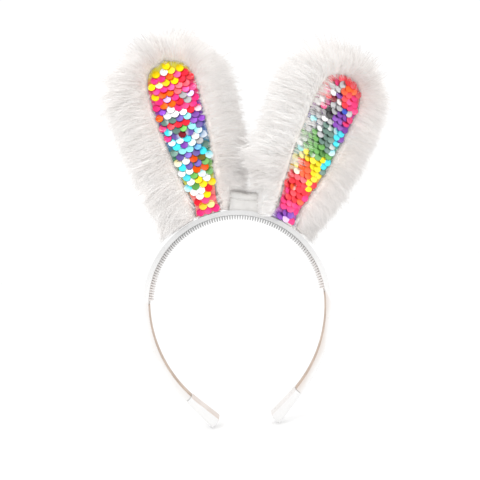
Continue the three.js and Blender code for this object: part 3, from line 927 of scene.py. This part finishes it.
# how much the pile fans down over the band at the edge's first foot and at its last
foot_fan = {"left": (1.05, 0.5), "right": (0.5, 0.8)}
foot_stretch = 0.13
# painted light and shade on the pile round the edge, before the top and after it: the right ear is painted
# lighter before its top and greyer after it
painted_side_light = {"left": (1.0, 1.0), "right": (1.05, 0.95)}
# hair that stands out over the panel, beyond this angle of the fan, is finer than the rest
over_panel_angle = 2.2


def fanned_down(ear, station):
    first, last = foot_fan[ear.side]
    return (unit(1 - station / foot_stretch) * first
            + unit(1 - (1 - station) / foot_stretch) * last)


def painted_side_light_at(ear, station):
    return np.interp(station, (0.4, 0.62), painted_side_light[ear.side])


for ear in ears:
    draw = np.random.default_rng(5 if ear.side == "left" else 8)
    fan = FurFan(ear)
    brushed = smooth_field(draw)
    # the undercoat, grooved by the locks that lie on it
    stations = np.linspace(0.0, 1.0, 460)
    angles = np.linspace(-math.pi, math.pi, 61)[:-1]
    s, a = np.meshgrid(stations, angles, indexing="ij")
    groove_angles = np.linspace(-math.pi, math.pi, 9)
    groove = draw.normal(0, 1, (len(stations), len(groove_angles)))
    groove = (groove + np.roll(groove, 1, 0) * 0.7 + np.roll(groove, -1, 0) * 0.7) / 1.4
    groove = np.stack([np.interp(angles, groove_angles, row) for row in groove]).ravel()
    s, a = s.ravel(), a.ravel()
    edge, along, out = fan.edge(s)
    lump = coat_share(a) + 0.035 * brushed(s * 3, a * 2) + 0.022 * groove
    fade = np.clip(np.minimum(s, 1 - s) * 14, 0.15, 1) ** 0.5
    reach = fan.reach_at(s, a)
    skin = edge + out * fan_start + fanned(out, a) * (reach * lump * fade)[:, None]
    sag = 0.06 + 0.45 * fanned_down(ear, s)
    skin[:, 1] -= sag * reach * unit(np.cos(a))
    skin = rest_on_band(skin)
    grid = np.arange(len(skin)).reshape(len(stations), len(angles))
    around = np.roll(grid, -1, axis=1)
    faces = np.stack([grid[:-1], grid[1:], around[1:], around[:-1]], -1).reshape(-1, 4)
    ends = [grid[0, ::-1], grid[-1]]
    middles = [skin[ring].mean(0) for ring in ends]
    caps = [np.stack([np.full(len(ring), len(skin) + k), ring, np.roll(ring, -1)], -1)
            for k, ring in enumerate(ends)]
    triangles = np.concatenate([faces[:, [0, 1, 2]], faces[:, [0, 2, 3]], *caps])
    skin = behind_ribbon(ear.to_world(np.concatenate([skin, middles])))
    under = mesh_piece(f"{ear.side}_undercoat", skin, triangles, under_fur)
    warm = unit((np.abs(a) - 0.9) / 1.4)[:, None]
    # painted shade: the undercoat is tinted a little darker where its grooves sink and lighter where they
    # rise
    coat = (root_tint * warm + body_tint * (1 - warm)) * (0.98 + 0.012 * groove)[:, None]
    # painted light and shade, by where round the edge the undercoat lies
    coat *= painted_side_light_at(ear, s)[:, None]
    set_colours(under, "fur_tint", np.concatenate([coat, np.tile(root_tint, (2, 1))]))
    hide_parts(f"{ear.side}_fur_trim")
    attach(under, f"{ear.side}_ear")
    # the guard hairs
    count = hairs_in_piece
    locks = count // lock_size
    for stretch, start, end in trim_stretches:
        if ear.outward > 0:
            start, end = 1 - end, 1 - start
        lock_s = draw.uniform(start, end, locks)
        lock_a = np.where(draw.uniform(0, 1, locks) < 0.62, draw.uniform(-2.75, 0.0, locks),
                          draw.uniform(-0.7, 2.4, locks))
        lock_lie = draw.uniform(0.35, 0.75, locks)
        lock_reach = draw.beta(3.0, 2.0, locks) * 0.34 + 0.82
        pick = draw.integers(0, locks, count)
        s = unit(lock_s[pick] + draw.normal(0, 0.007, count))
        a = lock_a[pick] + draw.normal(0, 0.16, count)
        edge, along, out = fan.edge(s)
        root_reach = fan.reach_at(s, a) * coat_share(a) * draw.uniform(0.9, 0.99, count)
        roots = edge + out * fan_start + fanned(out, a) * root_reach[:, None]
        tip_s = unit(lock_s[pick] + (s - lock_s[pick]) * 0.4)
        tip_a = a * (lock_lie[pick] + draw.normal(0, 0.05, count))
        hazy = (ear.outward > 0) & (s > 0.15) & (s < 0.42)
        over_panel = draw.uniform(0, 1, locks)[pick] < np.where(hazy, 0.95, 0.6)
        over_panel &= np.abs(a) > over_panel_angle
        tip_a = np.where(over_panel, a * draw.uniform(0.97, 1.06, count), tip_a)
        edge, along, out = fan.edge(tip_s)
        reach = fan.reach_at(np.clip(tip_s, 0.04, 0.96), tip_a)
        length = lock_reach[pick] + draw.normal(0, 0.05, count)
        length += np.where(draw.uniform(0, 1, count) < 0.10, draw.uniform(0.05, 0.28, count), 0)
        stretch_over = np.where(hazy, draw.uniform(1.2, 3.1, count), draw.uniform(1.1, 1.6, count))
        length = np.where(over_panel, length * stretch_over, length)
        foot_turn = fanned_down(ear, s) * draw.uniform(0, 1, locks)[pick]
        at_top = unit(1 - np.abs(s - 0.48) / 0.16)
        wisp = draw.uniform(0, 1, locks)[pick] < 0.07 + 0.15 * at_top
        length += np.where(wisp, draw.uniform(0.06, 0.30, locks)[pick] * (1 + 1.4 * at_top), 0)
        swing = 0.18 * brushed(s, a) + draw.normal(0, 0.10, locks)[pick] + draw.normal(0, 0.04, count)
        sideways = along * (swing * reach)[:, None]
        sideways += np.array([0, -1, 0]) * ((droop + foot_turn) * reach)[:, None]
        start_at = edge + out * fan_start
        tips = rest_on_band(start_at + fanned(out, tip_a) * (reach * length)[:, None] + sideways)
        half_a = (a + tip_a) / 2
        half_share = np.maximum((coat_share(a) + length) / 2 * 1.02, coat_share(half_a) * 1.06)
        half_reach = fan.reach_at(s, half_a) * half_share
        middles = start_at + fanned(out, half_a) * half_reach[:, None] + sideways * 0.28
        radius = hair_radius * draw.uniform(0.7, 1.25, count)
        radius = np.where(over_panel, radius * 0.6, np.where(wisp, radius * 1.15, radius))
        shade = draw.uniform(0.965, 1.045, locks)[pick] * draw.uniform(0.98, 1.03, count)
        # painted light and shade, by where round the edge the hair grows
        shade *= painted_side_light_at(ear, s)
        # painted shadow: the hair between the ears, just above the ribbon, is darkened
        shadow_between_ears = np.exp(-((s - (0.88 if ear.outward < 0 else 0.12)) / 0.05) ** 2)
        shade *= 1 - 0.07 * shadow_between_ears
        shade = np.where(wisp, shade * (1 - 0.28 * at_top * draw.uniform(0, 1, count)), shade)
        warmth = unit((np.abs(a) - 0.6) / 1.3) * draw.uniform(0.6, 1, count)
        pile = strands(ear, f"{ear.side}_fur_{stretch}", roots, middles, tips, radius, shade, warmth)
        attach(pile, f"{ear.side}_ear")
    # the pile on the ear's back
    cloth = ear.node_points(f"{ear.side}_fur_cloth")
    back_face = cloth[:, 2].max()
    pile_back = ear.node_points(f"{ear.side}_fur_back")[:, 2].max()
    low, high = panel_foot + 0.4 * MM, cloth[:, 1].max()
    rise = np.linspace(0, 1, 90)
    side_share = np.linspace(-1, 1, 41)
    ups = low + (high + 3 * MM - low) * np.sin(rise * math.pi / 2)
    half = panel_half_width(ear, np.clip(ups, None, high)) + foot_flare(ear, ups)
    half += 4.5 * MM * np.sqrt(1 - rise ** 6)
    across = half[:, None] * side_share[None, :]
    swell = (1 - side_share[None, :] ** 4) * np.sqrt(unit(1.02 - rise[:, None] ** 8))
    lumps = smooth_field(draw)(rise[:, None] * 5, side_share[None, :] * 6)
    swell *= 0.88 + 0.04 * lumps + 0.03 * draw.normal(0, 1, swell.shape)
    swell *= unit(0.35 + rise[:, None] * 6)
    depth = back_face - 1 * MM + (pile_back - back_face) * swell
    rows, columns = across.shape
    grid = np.arange(rows * columns).reshape(rows, columns)
    faces = np.stack([grid[:-1, :-1], grid[1:, :-1], grid[1:, 1:], grid[:-1, 1:]], -1).reshape(-1, 4)
    skin = np.stack([across, np.repeat(ups[:, None], columns, 1), depth], -1).reshape(-1, 3)
    under_back = mesh_piece(f"{ear.side}_back_undercoat", ear.to_world(skin), faces, under_fur)
    # painted light: the back's undercoat is tinted brighter than the body, against the shade the hair casts
    # on it
    set_colours(under_back, "fur_tint", np.tile(body_tint * 1.06, (len(skin), 1)))
    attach(under_back, f"{ear.side}_ear")
    lock_v = draw.uniform(low + 1 * MM, high - 1 * MM, locks)
    lock_u = (panel_half_width(ear, lock_v) + 3 * MM) * draw.uniform(-0.98, 0.98, locks)
    pick = draw.integers(0, locks, count)
    up = np.clip(lock_v[pick] + draw.normal(0, 1.5 * MM, count), low, high)
    half = panel_half_width(ear, up) + 4 * MM
    across = np.clip(lock_u[pick] + draw.normal(0, 1.5 * MM, count), -half, half)
    depth = (pile_back - back_face) * draw.uniform(0.95, 1.3, count) * (1 - 0.3 * (across / half) ** 4)
    roots = np.stack([across, up, back_face + 0.62 * depth], -1)
    depth *= 0.38
    lean_up = 1.9 + 0.45 * draw.normal(0, 1, locks)[pick] + 0.15 * draw.normal(0, 1, count)
    splay = (0.25 + 0.5 * (across / half) ** 4) * across
    tips = roots + np.stack([splay + draw.normal(0, 0.9 * MM, count), depth * lean_up, depth], -1)
    tips[:, 1] = np.clip(tips[:, 1], low - 0.5 * MM, high + 8 * MM)
    tips = rest_on_band(tips)
    middles = (roots + tips) / 2 + np.stack([np.zeros(count), -0.12 * depth, 0.1 * depth], -1)
    radius = hair_radius * draw.uniform(0.8, 1.4, count)
    # painted light: the back's hairs are tinted brighter, against the shade they cast on each other
    shade = draw.uniform(1.03, 1.12, locks)[pick]
    warmth = draw.uniform(0, 0.6, count)
    pile = strands(ear, f"{ear.side}_fur_back_pile", roots, middles, tips, radius, shade, warmth)
    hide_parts(f"{ear.side}_fur_back")
    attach(pile, f"{ear.side}_ear")
